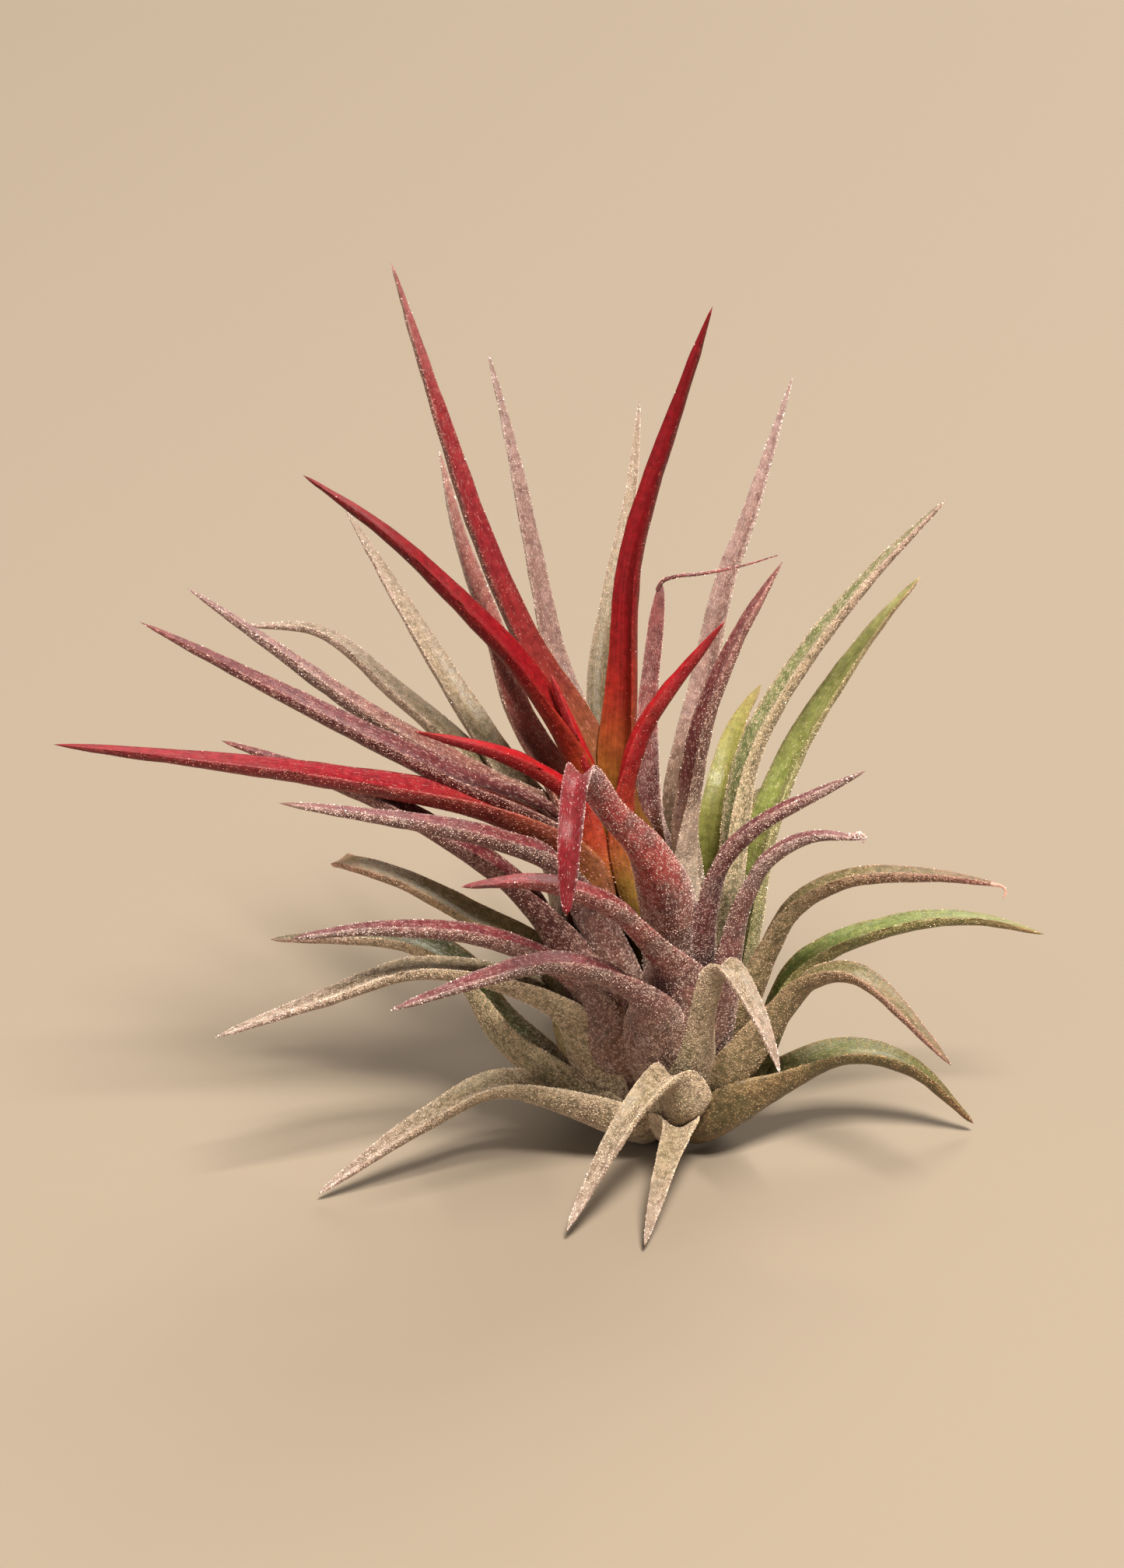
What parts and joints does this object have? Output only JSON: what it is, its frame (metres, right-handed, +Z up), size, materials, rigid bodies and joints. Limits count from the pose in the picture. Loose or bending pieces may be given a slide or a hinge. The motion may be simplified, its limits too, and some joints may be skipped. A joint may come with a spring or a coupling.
{
  "type": "air plant",
  "caption": "Small stemless air plant: a rosette of separate stiff, channelled, arching leaves with silvery scales, red at the heart, on a short hidden stem.",
  "frame": {"origin": "centre of the stem's flat underside, on the surface that the plant rests on", "axes": "+Z up, -Y towards the front of the rosette, +X to its right"},
  "size_m": [0.0718, 0.0551, 0.0642],
  "materials": {
    "silver_leaf": "matte green leaf under dense silvery-beige scales",
    "olive_leaf": "matte olive-green leaf with silvery scales",
    "plum_leaf": "satin purple-brown leaf with whitish scales",
    "crimson_leaf": "satin crimson leaf with sparse whitish scales",
    "stem": "dry, matte, woody"
  },
  "bodies": {
    "root": {"inner_leaf_01": "plum_leaf", "inner_leaf_02": "olive_leaf", "inner_leaf_03": "plum_leaf", "inner_leaf_04": "crimson_leaf", "inner_leaf_05": "crimson_leaf", "inner_leaf_06": "crimson_leaf", "inner_leaf_07": "crimson_leaf", "inner_leaf_08": "crimson_leaf", "inner_leaf_09": "crimson_leaf", "middle_leaf_01": "silver_leaf", "middle_leaf_02": "olive_leaf", "middle_leaf_03": "olive_leaf", "middle_leaf_04": "plum_leaf", "middle_leaf_05": "plum_leaf", "middle_leaf_06": "silver_leaf", "middle_leaf_07": "plum_leaf", "middle_leaf_08": "plum_leaf", "middle_leaf_09": "plum_leaf", "middle_leaf_10": "plum_leaf", "middle_leaf_11": "olive_leaf", "middle_leaf_12": "olive_leaf", "middle_leaf_13": "olive_leaf", "outer_leaf_01": "silver_leaf", "outer_leaf_02": "silver_leaf", "outer_leaf_03": "olive_leaf", "outer_leaf_04": "olive_leaf", "outer_leaf_05": "olive_leaf", "outer_leaf_06": "olive_leaf", "outer_leaf_07": "silver_leaf", "outer_leaf_08": "olive_leaf", "outer_leaf_09": "olive_leaf", "outer_leaf_10": "silver_leaf", "outer_leaf_11": "silver_leaf", "stem": "stem", "upper_leaf_01": "plum_leaf", "upper_leaf_02": "plum_leaf", "upper_leaf_03": "olive_leaf", "upper_leaf_04": "olive_leaf", "upper_leaf_05": "plum_leaf", "upper_leaf_06": "silver_leaf", "upper_leaf_07": "crimson_leaf", "upper_leaf_08": "plum_leaf", "upper_leaf_09": "plum_leaf", "upper_leaf_10": "plum_leaf", "upper_leaf_11": "plum_leaf", "upper_leaf_12": "plum_leaf"}
  },
  "joints": []
}
